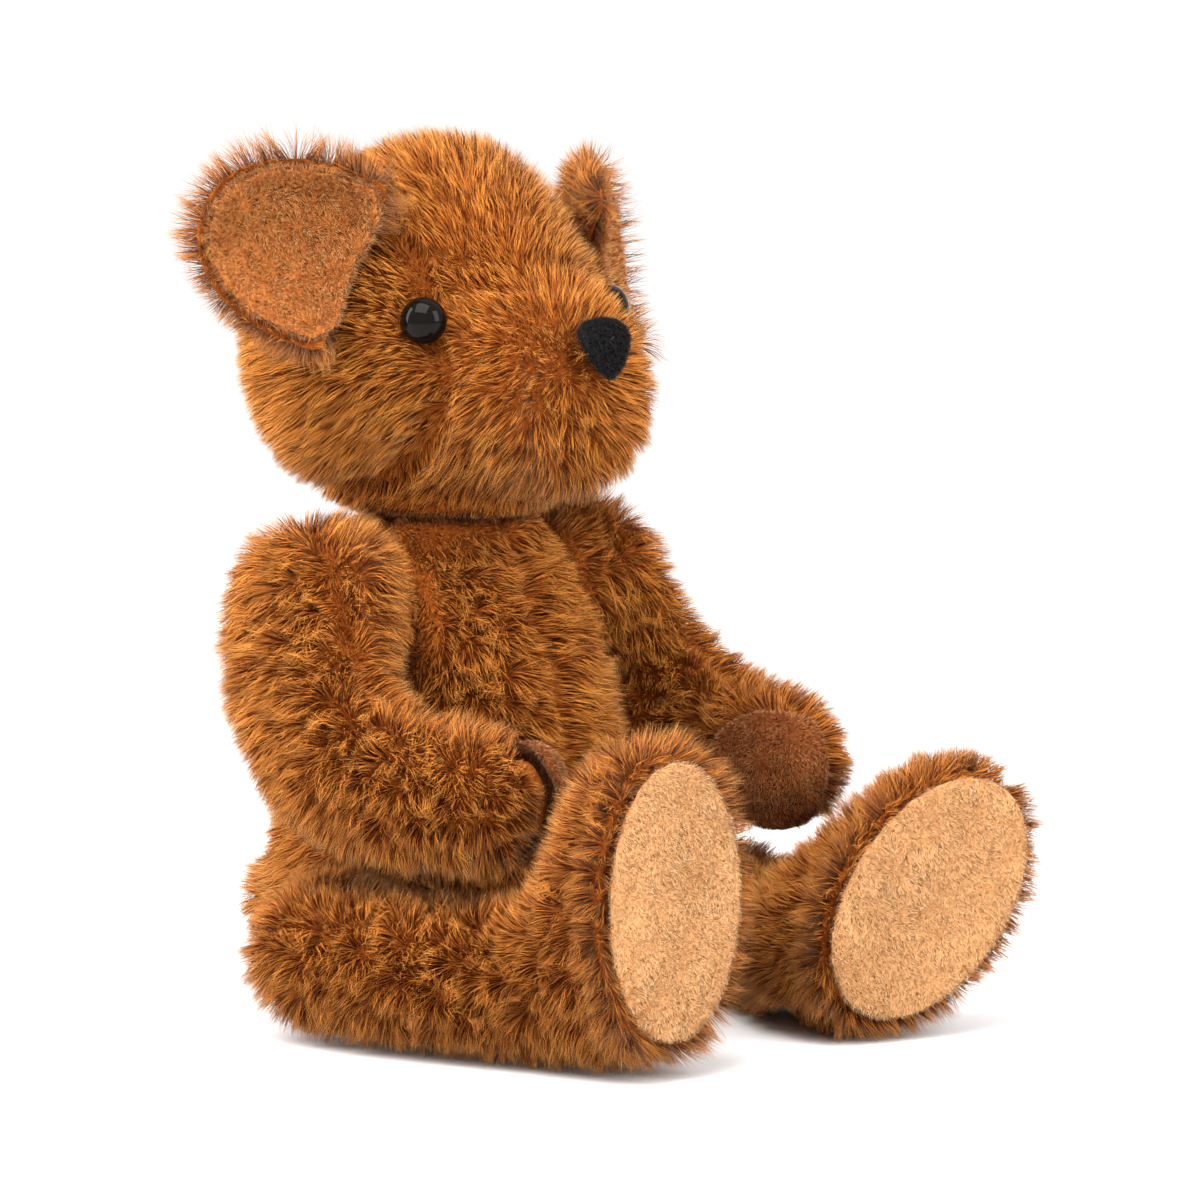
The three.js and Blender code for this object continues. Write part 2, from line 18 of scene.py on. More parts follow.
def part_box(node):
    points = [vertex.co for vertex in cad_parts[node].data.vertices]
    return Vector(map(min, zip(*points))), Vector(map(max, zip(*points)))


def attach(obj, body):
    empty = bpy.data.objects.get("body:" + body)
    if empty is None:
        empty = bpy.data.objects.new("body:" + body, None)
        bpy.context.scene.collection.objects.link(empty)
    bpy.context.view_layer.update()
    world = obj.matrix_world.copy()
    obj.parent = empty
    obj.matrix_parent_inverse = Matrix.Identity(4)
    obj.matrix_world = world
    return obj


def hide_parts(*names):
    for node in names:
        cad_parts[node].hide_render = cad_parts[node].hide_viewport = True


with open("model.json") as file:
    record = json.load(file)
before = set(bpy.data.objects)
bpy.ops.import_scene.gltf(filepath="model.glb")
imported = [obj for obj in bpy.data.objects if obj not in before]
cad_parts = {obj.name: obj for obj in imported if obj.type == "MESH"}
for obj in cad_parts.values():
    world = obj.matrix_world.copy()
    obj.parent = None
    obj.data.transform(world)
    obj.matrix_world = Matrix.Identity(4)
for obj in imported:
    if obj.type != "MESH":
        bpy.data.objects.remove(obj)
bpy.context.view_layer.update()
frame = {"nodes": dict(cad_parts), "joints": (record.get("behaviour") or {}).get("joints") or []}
nodes = frame["nodes"]
mm = 0.001
print("pieces in the frame:", len(nodes))

# %% [markdown]
# The frame's own middle plane is the plane that the left and the right eye mirror in. The neck
# joint gives the line that the head turns on. Both come from the frame, so the bear can be
# resized there without a change here.

# %% Landmarks on the bear
joint_place = {joint["child"]: Vector(joint["pos_m"]) for joint in frame["joints"]}


def middle_of(node):
    low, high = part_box(node)
    return np.array((low + high) / 2)


mid_x = (middle_of("eye_left")[0] + middle_of("eye_right")[0]) / 2
head_middle = middle_of("head_filling")
head_middle[0] = mid_x
nose_middle = middle_of("nose")
print("the nose is", round((head_middle[1] - nose_middle[1]) / mm), "mm before the head's middle")

# %% [markdown]
# ## The table and the light
# A toy is best seen on a plain white surface under big soft lamps, because small lamps draw hard
# shadows between the hairs. One large lamp hangs over the bear, one stands behind its right
# shoulder and draws the bright rim of the pile, and a third fills in from the front.

# %% The white floor
stage_half = 30.0  # so wide that its edge never shows


def make_floor():
    mesh = bpy.data.meshes.new("floor")
    corners = [(-1, -1), (1, -1), (1, 1), (-1, 1)]
    mesh.from_pydata([(x * stage_half, y * stage_half, 0) for x, y in corners], [], [(0, 1, 2, 3)])
    floor = bpy.data.objects.new("floor", mesh)
    bpy.context.scene.collection.objects.link(floor)
    material = bpy.data.materials.new("white_floor")
    material.use_nodes = True
    shader = material.node_tree.nodes["Principled BSDF"]
    shader.inputs["Base Color"].default_value = (0.9, 0.9, 0.9, 1)
    shader.inputs["Roughness"].default_value = 0.9
    mesh.materials.append(material)


make_floor()
print("floor", 2 * stage_half, "m wide")

# %% The lamps
aim = Vector((mid_x, head_middle[1] - 0.05, 0.14))


def soft_lamp(name, azimuth, height, distance, width, length, power):
    data = bpy.data.lights.new(name, "AREA")
    data.shape = "RECTANGLE"
    data.size = width
    data.size_y = length
    data.energy = power
    lamp = bpy.data.objects.new(name, data)
    bpy.context.scene.collection.objects.link(lamp)
    turn, lift = radians(azimuth), radians(height)
    away = Vector((sin(turn) * cos(lift), -cos(turn) * cos(lift), sin(lift)))
    lamp.location = aim + away * distance
    lamp.rotation_mode = "QUATERNION"
    lamp.rotation_quaternion = (-away).to_track_quat("-Z", "Y")
    return lamp


soft_lamp("overhead_lamp", -70, 60, 1.5, 1.2, 1.2, 30)
soft_lamp("rim_lamp", -132, 22, 1.4, 0.6, 1.2, 22)
soft_lamp("front_lamp", 8, 24, 1.6, 0.7, 1.2, 18)
print("3 lamps round", [round(value, 3) for value in aim])

# %% The pale room round them
world = bpy.data.worlds.new("pale_room")
bpy.context.scene.world = world
world.use_nodes = True
world.node_tree.nodes["Background"].inputs["Color"].default_value = (1, 1, 1, 1)
world.node_tree.nodes["Background"].inputs["Strength"].default_value = 1.12
bpy.context.scene.view_settings.view_transform = "Standard"
print("room", world.name)

# %% [markdown]
# A long lens from well back keeps the big feet from looking bigger than they are. The camera
# stands in front of the bear, to its right, a little above the table.

# %% The camera
view_azimuth, view_elevation, view_distance = radians(-46), radians(6), 2.6
view_width = 0.4  # of what the camera sees at the bear
frame_right, frame_up = 0.0533, 0.1347  # from the aim on the table to the middle of the view


def make_camera():
    data = bpy.data.cameras.new("camera")
    data.sensor_width = 36
    data.lens = data.sensor_width * view_distance / view_width
    camera = bpy.data.objects.new("camera", data)
    bpy.context.scene.collection.objects.link(camera)
    turn, lift = view_azimuth, view_elevation
    back = Vector((sin(turn) * cos(lift), -cos(turn) * cos(lift), sin(lift)))
    right = Vector((cos(turn), sin(turn), 0))
    up = back.cross(right)
    foot = Vector((mid_x, joint_place["head"].y + 0.004, 0))
    camera.location = foot + right * frame_right + up * frame_up + back * view_distance
    camera.rotation_mode = "QUATERNION"
    camera.rotation_quaternion = (-back).to_track_quat("-Z", "Y")
    data.clip_end = 50
    bpy.context.scene.camera = camera
    print("the camera stands at", [round(value, 2) for value in camera.location])


make_camera()

# %% [markdown]
# ## Colours of the plush
# Long pile is darker at its roots, a painted shade where little light gets in, and paler at its tips,
# a painted glow for light shining through the hair. Each hair carries its own map: one direction
# says which hair it is, the other runs from root to tip. The material reads its colour from that map,
# so no two tufts are alike.


# %% A material for pile
def ramp(tree, source, stops):
    node = tree.nodes.new("ShaderNodeValToRGB")
    tree.links.new(source, node.inputs["Fac"])
    elements = node.color_ramp.elements
    while len(elements) < len(stops):
        elements.new(0.5)
    for element, (place, colour) in zip(elements, stops):
        element.position = place
        element.color = (*colour, 1)
    return node.outputs["Color"]


def multiplied(tree, first, second):
    node = tree.nodes.new("ShaderNodeMix")
    node.data_type = "RGBA"
    node.blend_type = "MULTIPLY"
    node.inputs[0].default_value = 1
    tree.links.new(first, node.inputs[6])
    tree.links.new(second, node.inputs[7])
    return node.outputs[2]


def pile_material(name, along, between, roughness, sheen):
    material = bpy.data.materials.new(name)
    material.use_nodes = True
    tree = material.node_tree
    shader = tree.nodes["Principled BSDF"]
    uv = tree.nodes.new("ShaderNodeUVMap")
    uv.uv_map = "OFBake"
    split = tree.nodes.new("ShaderNodeSeparateXYZ")
    tree.links.new(uv.outputs["UV"], split.inputs[0])
    # Root to tip: painted shade at the root, paling to a painted glow at the tip.
    length = ramp(tree, split.outputs["Y"], along)
    # A hair's tint: random tone, with painted shade at seams and folds and a painted highlight on tuft
    # crests.
    hair = ramp(tree, split.outputs["X"], between)
    tree.links.new(multiplied(tree, length, hair), shader.inputs["Base Color"])
    shader.inputs["Roughness"].default_value = roughness
    shader.inputs["Specular IOR Level"].default_value = 0.12
    shader.inputs["Sheen Weight"].default_value = sheen
    shader.inputs["Sheen Roughness"].default_value = 0.45
    shader.inputs["Sheen Tint"].default_value = (1, 0.72, 0.45, 1)
    return material


# %% The five kinds of pile
# Spreads of a hair's tint: the dark end gives painted shade at seams and folds, the pale end a painted
# highlight on tuft crests, with random tone between.
warm_spread = [(0.0, (0.72, 0.64, 0.56)), (0.5, (1.0, 1.0, 1.0)), (1.0, (1.14, 1.18, 1.24))]
even_spread = [(0.0, (0.78, 0.76, 0.74)), (0.5, (1.0, 1.0, 1.0)), (1.0, (1.12, 1.14, 1.18))]
# Each pile's first ramp runs from a root in painted shade to a tip in painted glow.
fur_pile = pile_material(
    "golden_brown_pile",
    [(0, (0.16, 0.033, 0.003)), (0.35, (0.45, 0.118, 0.012)),
     (0.7, (0.75, 0.25, 0.034)), (1, (0.93, 0.43, 0.1))],
    warm_spread, 0.75, 0.18)
tan_pile = pile_material(
    "tan_pile",
    [(0, (0.46, 0.2, 0.075)), (0.5, (0.8, 0.46, 0.21)), (1, (0.98, 0.71, 0.42))],
    even_spread, 0.75, 0.25)
lining_pile = pile_material(
    "lining_pile",
    [(0, (0.34, 0.1, 0.02)), (0.5, (0.68, 0.25, 0.065)), (1, (0.9, 0.46, 0.17))],
    even_spread, 0.75, 0.25)
pad_pile = pile_material(
    "paw_pile",
    [(0, (0.2, 0.052, 0.012)), (0.5, (0.47, 0.155, 0.042)), (1, (0.76, 0.34, 0.13))],
    even_spread, 0.75, 0.2)
nose_pile = pile_material(
    "nose_pile",
    [(0, (0.002, 0.002, 0.002)), (0.6, (0.008, 0.008, 0.01)), (1, (0.03, 0.03, 0.036))],
    even_spread, 0.6, 0.15)
print("piles:", [pile.name for pile in (fur_pile, tan_pile, lining_pile, pad_pile, nose_pile)])

# %% [markdown]
# The woven cloth behind the pile only shows in the partings. A brown noise with a fine weave in
# its bump is enough there, in the dark colour of the roots: partly the cloth's own brown, partly
# painted shade deep in the pile.


# %% A material for the cloth behind the pile
weave_scale = 900


def backing_material(name, dark, light):
    material = bpy.data.materials.new(name)
    material.use_nodes = True
    tree = material.node_tree
    shader = tree.nodes["Principled BSDF"]
    place = tree.nodes.new("ShaderNodeTexCoord")
    noise = tree.nodes.new("ShaderNodeTexNoise")
    noise.inputs["Scale"].default_value = weave_scale
    tree.links.new(place.outputs["Object"], noise.inputs["Vector"])
    colour = ramp(tree, noise.outputs["Fac"], [(0.3, dark), (0.7, light)])
    tree.links.new(colour, shader.inputs["Base Color"])
    bump = tree.nodes.new("ShaderNodeBump")
    bump.inputs["Distance"].default_value = 0.0004
    tree.links.new(noise.outputs["Fac"], bump.inputs["Height"])
    tree.links.new(bump.outputs["Normal"], shader.inputs["Normal"])
    shader.inputs["Roughness"].default_value = 0.95
    shader.inputs["Specular IOR Level"].default_value = 0.1
    return material


# The backings take the dark colours of their piles' roots: partly their own colour, partly painted
# shade.
brown_backing = backing_material("brown_backing", (0.2, 0.045, 0.005), (0.32, 0.08, 0.01))
tan_backing = backing_material("tan_backing", (0.46, 0.21, 0.08), (0.62, 0.33, 0.14))
lining_backing = backing_material("lining_backing", (0.34, 0.1, 0.02), (0.5, 0.17, 0.042))
paw_backing = backing_material("paw_backing", (0.1, 0.023, 0.005), (0.2, 0.055, 0.013))
black_backing = backing_material("black_backing", (0.003, 0.003, 0.003), (0.01, 0.01, 0.011))

# %% [markdown]
# ## Stuffed forms
# A stuffed bag is sewn flat and then filled until it is tight: its panels swell and its seams stay
# where the thread holds them. The frame gives the bag's size. Its solids are joined and remeshed
# into one even skin, and cloth with air pressure inside does the filling, with the seams pinned.


# %% Reading and joining meshes
def vertex_places(mesh):
    flat = np.empty(len(mesh.vertices) * 3, np.float32)
    mesh.vertices.foreach_get("co", flat)
    return flat.reshape(-1, 3).astype(float)


def set_places(mesh, places):
    mesh.vertices.foreach_set("co", places.astype(np.float32).ravel())
    mesh.update()


def vertex_normals(mesh):
    flat = np.empty(len(mesh.vertices) * 3, np.float32)
    mesh.vertex_normals.foreach_get("vector", flat)
    return flat.reshape(-1, 3).astype(float)


def joined(name, members):
    work = bmesh.new()
    for member in members:
        work.from_mesh(nodes[member].data)
    mesh = bpy.data.meshes.new(name)
    work.to_mesh(mesh)
    work.free()
    piece = bpy.data.objects.new(name, mesh)
    bpy.context.scene.collection.objects.link(piece)
    return piece


def applied(piece):
    graph = bpy.context.evaluated_depsgraph_get()
    mesh = bpy.data.meshes.new_from_object(piece.evaluated_get(graph))
    piece.modifiers.clear()
    old = piece.data
    piece.data = mesh
    bpy.data.meshes.remove(old)
    mesh.name = piece.name


# %% Dropping the inner shells, and smoothing
def keep_largest_shell(piece):
    work = bmesh.new()
    work.from_mesh(piece.data)
    work.verts.ensure_lookup_table()
    seen = np.zeros(len(work.verts), bool)
    shells = []
    for start in work.verts:
        if seen[start.index]:
            continue
        seen[start.index] = True
        shell, front = [start], [start]
        while front:
            vertex = front.pop()
            for edge in vertex.link_edges:
                other = edge.other_vert(vertex)
                if not seen[other.index]:
                    seen[other.index] = True
                    shell.append(other)
                    front.append(other)
        shells.append(shell)
    largest = max(shells, key=len)
    for shell in shells:
        if shell is not largest:
            bmesh.ops.delete(work, geom=shell, context="VERTS")
    work.to_mesh(piece.data)
    work.free()


def edges_of(mesh):
    flat = np.empty(len(mesh.edges) * 2, np.int32)
    mesh.edges.foreach_get("vertices", flat)
    return flat.reshape(-1, 2)


keep, pull = 0.4, 0.6  # of a point's own place, and of the mean place round it


def smoothed(places, edges, rounds):
    count = np.bincount(edges.ravel(), minlength=len(places))[:, None]
    for _ in range(rounds):
        total = np.zeros_like(places)
        for axis in range(places.shape[1]):
            sums = np.bincount(edges[:, 0], places[edges[:, 1], axis], len(places))
            sums += np.bincount(edges[:, 1], places[edges[:, 0], axis], len(places))
            total[:, axis] = sums
        places = places * keep + total / np.maximum(count, 1) * pull
    return places


# %% How much room a skin has beside other pieces
least_inset = 0.4 * mm
touching, fade = 2 * mm, 10 * mm  # the gap that counts as none, and how far its effect fades


def room_round(places, neighbours):
    """0 where a point lies against one of these nodes, 1 where it has room round it."""
    room = np.full(len(places), 1.0)
    for neighbour in neighbours:
        mesh = nodes[neighbour].data
        polygons = [tuple(polygon.vertices) for polygon in mesh.polygons]
        tree = BVHTree.FromPolygons([tuple(v.co) for v in mesh.vertices], polygons)
        gap = np.array([tree.find_nearest(Vector(place))[3] for place in places])
        share = np.clip((gap - touching) / fade, 0, 1)
        room = np.minimum(room, share * share * (3 - 2 * share))
    return room


# %% One even skin round several solids
def even_skin(name, members, voxel, inset, rounds, neighbours=(), edged_by=()):
    """Also gives each point's room beside its neighbours. Along its edges the skin stays full."""
    piece = joined(name, members)
    remesh = piece.modifiers.new("even", "REMESH")
    remesh.mode = "VOXEL"
    remesh.voxel_size = voxel
    applied(piece)
    keep_largest_shell(piece)
    mesh = piece.data
    edges = edges_of(mesh)
    places = smoothed(vertex_places(mesh), edges, rounds)
    set_places(mesh, places)
    room = room_round(places, neighbours)
    inward = np.minimum(room, room_round(places, edged_by))
    depth = (least_inset + (inset - least_inset) * inward)[:, None]
    steps = 3
    for _ in range(steps):
        normals = smoothed(vertex_normals(mesh), edges, 2)
        set_places(mesh, smoothed(vertex_places(mesh) - normals * depth / steps, edges, 1))
    for polygon in mesh.polygons:
        polygon.use_smooth = True
    return piece, room


# %% [markdown]
# Where two panels meet, the thread pulls the skin in, the pile parts and its hairs are painted
# darker, a painted shade in the crease. A point is on a seam when it is as far from one panel as
# from the next, so the panels in the frame tell where every seam runs.

# %% Which panel a point belongs to, and how near a seam is
seam_width = 1.3 * mm  # a point's two distances differ by less than this near a seam


class Panels:
    """The fur panels of one bag."""

    def __init__(self, names):
        self.names = names
        self.trees = []
        for name in names:
            mesh = nodes[name].data
            polygons = [tuple(polygon.vertices) for polygon in mesh.polygons]
            self.trees.append(BVHTree.FromPolygons([tuple(v.co) for v in mesh.vertices], polygons))

    def read(self, places):
        distances = np.empty((len(places), len(self.names)))
        for column, tree in enumerate(self.trees):
            for row, place in enumerate(places):
                distances[row, column] = tree.find_nearest(Vector(place))[3]
        panel = distances.argmin(1)
        if len(self.names) == 1:
            return panel, np.zeros(len(places))
        ordered = np.sort(distances, axis=1)
        return panel, np.exp(-(((ordered[:, 1] - ordered[:, 0]) / seam_width) ** 2))


# %% Which way the pile parts at a seam
def parting(mesh, seam):
    """A direction for each point, away from the seam: of length 1 beside it, and 0 far from it."""
    edges = edges_of(mesh)
    places = vertex_places(mesh)
    run = places[edges[:, 1]] - places[edges[:, 0]]
    run /= np.maximum(np.linalg.norm(run, axis=1, keepdims=True), 1e-9)
    fall = (seam[edges[:, 0]] - seam[edges[:, 1]])[:, None] * run
    away = np.zeros_like(places)
    for end in (0, 1):
        np.add.at(away, edges[:, end], fall)
    return np.clip(away, -1, 1)


# %% Filling a bag until it is tight
air_frames = 20


def hold(piece, name, weights):
    group = piece.vertex_groups.new(name=name)
    for index, weight in enumerate(weights):
        group.add([index], float(weight), "REPLACE")


def filled(piece, seam, pressure, most):
    """Blows the bag up with its seams held, and lets no point move by more than `most`."""
    mesh = piece.data
    start = vertex_places(mesh)
    hold(piece, "seams", seam)
    cloth = piece.modifiers.new("filling", "CLOTH")
    cloth.settings.quality = 4
    cloth.settings.mass = 0.3
    cloth.settings.tension_stiffness = 12
    cloth.settings.compression_stiffness = 12
    cloth.settings.bending_stiffness = 0.6
    cloth.settings.use_pressure = True
    cloth.settings.uniform_pressure_force = pressure
    cloth.settings.effector_weights.gravity = 0
    cloth.settings.vertex_group_mass = "seams"
    cloth.point_cache.frame_start = 1
    cloth.point_cache.frame_end = air_frames
    scene = bpy.context.scene
    for frame_number in range(1, air_frames + 1):
        scene.frame_set(frame_number)
    graph = bpy.context.evaluated_depsgraph_get()
    swollen = vertex_places(piece.evaluated_get(graph).data)
    piece.modifiers.clear()
    piece.vertex_groups.clear()
    scene.frame_set(1)
    move = swollen - start
    size = np.linalg.norm(move, axis=1, keepdims=True)
    move *= np.minimum(1, most / np.maximum(size, 1e-9))
    set_places(mesh, start + smoothed(move, edges_of(mesh), 2))
    print(piece.name, "swelled by up to", round(float(np.minimum(size, most).max()) * 1000, 1), "mm")


# %% [markdown]
# ## Growing the pile
# Pile could be drawn as a texture on the skin, but its outline would stay smooth and it would not
# shade itself. So every hair here is real: a thin ribbon that leaves the skin, follows the comb and
# leans towards the tip of its tuft. Tufts come from a field of random waves, because hairs that
# climb the same wave meet at its crest.

# %% A field of random waves
dice = np.random.default_rng(7)


class Waves:
    """Smooth random noise in space, with its slope. Its values lie mostly between -1 and 1."""

    def __init__(self, shortest, longest, count):
        direction = dice.normal(size=(count, 3))
        direction /= np.linalg.norm(direction, axis=1, keepdims=True)
        length = dice.uniform(shortest, longest, (count, 1))
        self.wave = direction * 2 * pi / length
        self.phase = dice.uniform(0, 2 * pi, count)
        self.gain = (2 / count) ** 0.5

    def value(self, places):
        return np.sin(places @ self.wave.T + self.phase).sum(1) * self.gain

    def slope(self, places):
        """The direction uphill, times a length: 1 on a steep place."""
        direction = self.wave / np.linalg.norm(self.wave, axis=1, keepdims=True)
        return np.cos(places @ self.wave.T + self.phase) @ direction * self.gain


tuft_waves = Waves(3 * mm, 5.5 * mm, 22)
clump_waves = Waves(6.5 * mm, 11 * mm, 18)
lock_waves = Waves(13 * mm, 24 * mm, 16)
drift_waves = Waves(40 * mm, 80 * mm, 12)
print("waves in a tuft field:", len(tuft_waves.phase))


# %% Roots, spread evenly at random
def unit(vectors):
    return vectors / np.maximum(np.linalg.norm(vectors, axis=1, keepdims=True), 1e-12)


most_hairs = 66000  # on one panel


def roots_on(mesh, wanted, density, channels):
    """Random points on the wanted triangles, with the mix of each vertex channel there."""
    mesh.calc_loop_triangles()
    corners = np.empty(len(mesh.loop_triangles) * 3, np.int32)
    mesh.loop_triangles.foreach_get("vertices", corners)
    corners = corners.reshape(-1, 3)
    corners = corners[wanted[corners].sum(1) >= 2]
    places = vertex_places(mesh)
    a, b, c = (places[corners[:, i]] for i in range(3))
    area = np.linalg.norm(np.cross(b - a, c - a), axis=1) / 2
    number = min(int(area.sum() * density), most_hairs)
    picked = np.searchsorted(np.cumsum(area) / area.sum(), dice.random(number))
    picked = np.minimum(picked, len(corners) - 1)
    first = np.sqrt(dice.random(number))[:, None]
    second = dice.random(number)[:, None]
    share = np.concatenate([1 - first, first * (1 - second), first * second], axis=1)
    chosen = corners[picked]
    return [np.einsum("ij,ij...->i...", share, channel[chosen]) for channel in (places, *channels)]


# %% Hairs as ribbons
def ribbons(name, strands, half_width, tint, normals, material):
    """strands: hairs x points x 3. Each hair is a ribbon that narrows to a pointed tip."""
    count, points, _ = strands.shape
    along = unit((strands[:, 1:] - strands[:, :-1]).reshape(-1, 3)).reshape(count, points - 1, 3)
    turn = unit(dice.normal(size=(count, 3)))[:, None, :]
    across = np.cross(along, turn)
    across /= np.maximum(np.linalg.norm(across, axis=2, keepdims=True), 1e-9)
    level = np.linspace(0, 1, points)
    width = half_width[:, None] * (1 - 0.45 * level[:-1])[None, :]
    left = strands[:, :-1] - across * width[:, :, None]
    right = strands[:, :-1] + across * width[:, :, None]
    pairs = np.stack([left, right], axis=2).reshape(count, -1, 3)
    per_hair = 2 * points - 1
    places = np.concatenate([pairs, strands[:, -1:]], axis=1).reshape(-1, 3)
    pattern, starts = [], []
    for step in range(points - 2):
        starts.append(len(pattern))
        pattern += [2 * step, 2 * step + 1, 2 * step + 3, 2 * step + 2]
    starts.append(len(pattern))
    pattern += [per_hair - 3, per_hair - 2, per_hair - 1]
    hair = np.arange(count)[:, None]
    corners = (hair * per_hair + np.array(pattern)).reshape(-1)
    faces = count * len(starts)
    mesh = bpy.data.meshes.new(name)
    mesh.vertices.add(len(places))
    mesh.vertices.foreach_set("co", places.astype(np.float32).ravel())
    mesh.loops.add(len(corners))
    mesh.loops.foreach_set("vertex_index", corners.astype(np.int32))
    mesh.polygons.add(faces)
    first = (hair * len(pattern) + np.array(starts)).reshape(-1)
    mesh.polygons.foreach_set("loop_start", first.astype(np.int32))
    mesh.update(calc_edges=True)
    mesh.polygons.foreach_set("use_smooth", np.ones(faces, bool))
    uv = mesh.uv_layers.new(name="OFBake")
    side = np.append(np.tile([0, 0.02], points - 1), 0.01)
    u = (tint[:, None] * 0.96 + 0.01 + side).reshape(-1)
    v = np.tile(np.append(np.repeat(level[:-1], 2), 1.0) * 0.98 + 0.01, count)
    flat = np.stack([u, v], axis=1)[corners]
    uv.uv.foreach_set("vector", flat.astype(np.float32).ravel())
    mesh.normals_split_custom_set_from_vertices(np.repeat(normals, per_hair, axis=0).astype(np.float32))
    mesh.materials.append(material)
    piece = bpy.data.objects.new(name, mesh)
    bpy.context.scene.collection.objects.link(piece)
    return piece


# %% [markdown]
# Each kind of pile is a recipe: how long and how dense it is, how upright it stands, how strongly
# it gathers into tufts, clumps and locks, and how thick a hair is. The floor stops hairs that
# would hang through it.

# %% Recipes for pile
recipes = {
    "fur": dict(length=11.5, density=3.5, points=3, lift=1.0, comb=0.42, tuft=0.14, clumps=0.26,
                locks=0.24, sag=0.1, stray=0.07, hair=0.105),
    "face": dict(length=9.5, density=3.6, points=3, lift=0.95, comb=0.6, tuft=0.13, clumps=0.17,
                 locks=0.18, sag=0.05, stray=0.06, hair=0.1),
    "velvet": dict(length=1.9, density=13.0, points=3, lift=0.9, comb=0.7, tuft=0.12, clumps=0.2,
                   locks=0.35, sag=0.0, stray=0.2, hair=0.06),
    "curly": dict(length=3.0, density=11.0, points=3, lift=1.0, comb=0.6, tuft=0.3, clumps=0.3,
                  locks=0.3, sag=0.0, stray=0.25, hair=0.065),
    "nose": dict(length=1.6, density=14.0, points=3, lift=0.8, comb=1.1, tuft=0.1, clumps=0.05,
                 locks=0.1, sag=0.0, stray=0.2, hair=0.07),
}
floor_gap = 0.4 * mm
seam_parting = 0.9  # how far hairs lean away from a seam
seam_shortening = 0.6  # the share of its length that a hair loses on a seam
shortest, longest = 0.72, 1.12  # of the recipe's length, from hair to hair
root_depth = 0.3 * mm  # of a root below the skin
print("recipes:", list(recipes))

# %% [markdown]
# A hair is drawn from its root in a few steps. At the root it stands out of the skin, and with
# every step it gives way more to the comb, to its tuft and to its own weight.


# %% Drawing the hairs of one panel
def drawn_strands(root, normal, comb, away, length, stray, settings):
    lock = lock_waves.slope(root)
    clump = clump_waves.slope(root)
    tuft = tuft_waves.slope(root)
    points = settings["points"]
    strand = np.empty((len(root), points, 3))
    strand[:, 0] = root - normal * root_depth
    for step in range(1, points):
        share = (step - 0.5) / (points - 1)
        heading = normal * settings["lift"] * (1.15 - 0.55 * share)
        heading += comb * settings["comb"] * (0.35 + 0.75 * share)
        heading += (tuft * settings["tuft"] + clump * settings["clumps"]) * (0.4 + share)
        heading += lock * settings["locks"] + away * seam_parting
        heading += stray * (0.5 + share)
        heading[:, 2] -= settings["sag"] * share
        strand[:, step] = strand[:, step - 1] + unit(heading) * (length / (points - 1))[:, None]
    under = strand[:, :, 2] < floor_gap
    strand[:, :, 2][under] = floor_gap + (floor_gap - strand[:, :, 2][under]) * 0.02
    return strand


def tint_of(root, near_seam, drift):
    """Which hair it is, from dark to pale: painted highlight on tuft crests, painted shade at seams and
    folds.
    """
    # Painted highlight: paler on the crests of tufts.
    crest = tuft_waves.value(root) + clump_waves.value(root)
    tint = 0.5 + 0.1 * crest + 0.07 * lock_waves.value(root) + 0.07 * drift
    # Painted shade: darker on seams and folds; the rest is random tone.
    return np.clip(tint - 0.45 * near_seam + dice.normal(size=len(root)) * 0.13, 0, 1)


def grow(name, skin, wanted, seam, comb_of, recipe, material, longer=None):
    """Grows one panel's pile on a skin, where `wanted` is true."""
    settings = recipes[recipe]
    mesh = skin.data
    fewer = 1.0
    wider = 1.0
    density = settings["density"] * 1e6 * fewer
    extra = np.ones(len(mesh.vertices)) if longer is None else longer
    channels = (vertex_normals(mesh), seam, extra, parting(mesh, seam))
    root, normal, near_seam, length, away = roots_on(mesh, wanted, density, channels)
    normal = unit(normal)
    count = len(root)
    comb = comb_of(root)
    comb -= normal * (comb * normal).sum(1, keepdims=True)
    comb = unit(comb)
    drift = drift_waves.value(root)
    length = length * settings["length"] * mm * (1 - seam_shortening * near_seam)
    length = length * (1 + 0.1 * drift) * dice.uniform(shortest, longest, count)
    stray = dice.normal(size=(count, 3)) * settings["stray"]
    strand = drawn_strands(root, normal, comb, away, length, stray, settings)
    half_width = dice.uniform(0.75, 1.25, count) * (settings["hair"] * mm * wider)
    tint = tint_of(root, near_seam, drift)
    piece = ribbons(name, strand, half_width, tint, normal, material)
    print(name, count, "hairs")
    return piece


# %% [markdown]
# ## The head
# The head is three panels: two sides, and one wide panel that runs from the back of the head over
# the forehead and down the muzzle. Its pile is a little shorter than the body's and brushed back
# from the nose. Folds that have no seam of their own, such as the stop between the forehead and
# the muzzle, are pressed in along listed lines.


# %% Pressing a fold into a skin
def fold_weight(places, points, width):
    """1 on a line through the points, falling off to both sides."""
    nearest = np.full(len(places), 1e9)
    for start, end in zip(points[:-1], points[1:]):
        start, end = np.array(start), np.array(end)
        run = end - start
        share = np.clip((places - start) @ run / (run @ run), 0, 1)
        nearest = np.minimum(nearest, np.linalg.norm(places - start - share[:, None] * run, axis=1))
    return np.exp(-((nearest / width) ** 2))


def pressed(piece, weight, depth):
    mesh = piece.data
    set_places(mesh, vertex_places(mesh) - vertex_normals(mesh) * (weight * depth)[:, None])


def both_sides(points):
    mirrored = [(2 * mid_x - x, y, z) for x, y, z in points]
    return [points, mirrored]


# %% Dressing one bag
fur_inset = 7.0 * mm
skin_grain = 3.5 * mm
air_pressure = 4
most_swell = 2.5 * mm
seam_depth = 2.6 * mm
fold_parting = 0.8  # how far a fold parts the pile, against a seam's 1
pressed_length = 0.3  # the share of its length that pile keeps against a neighbour


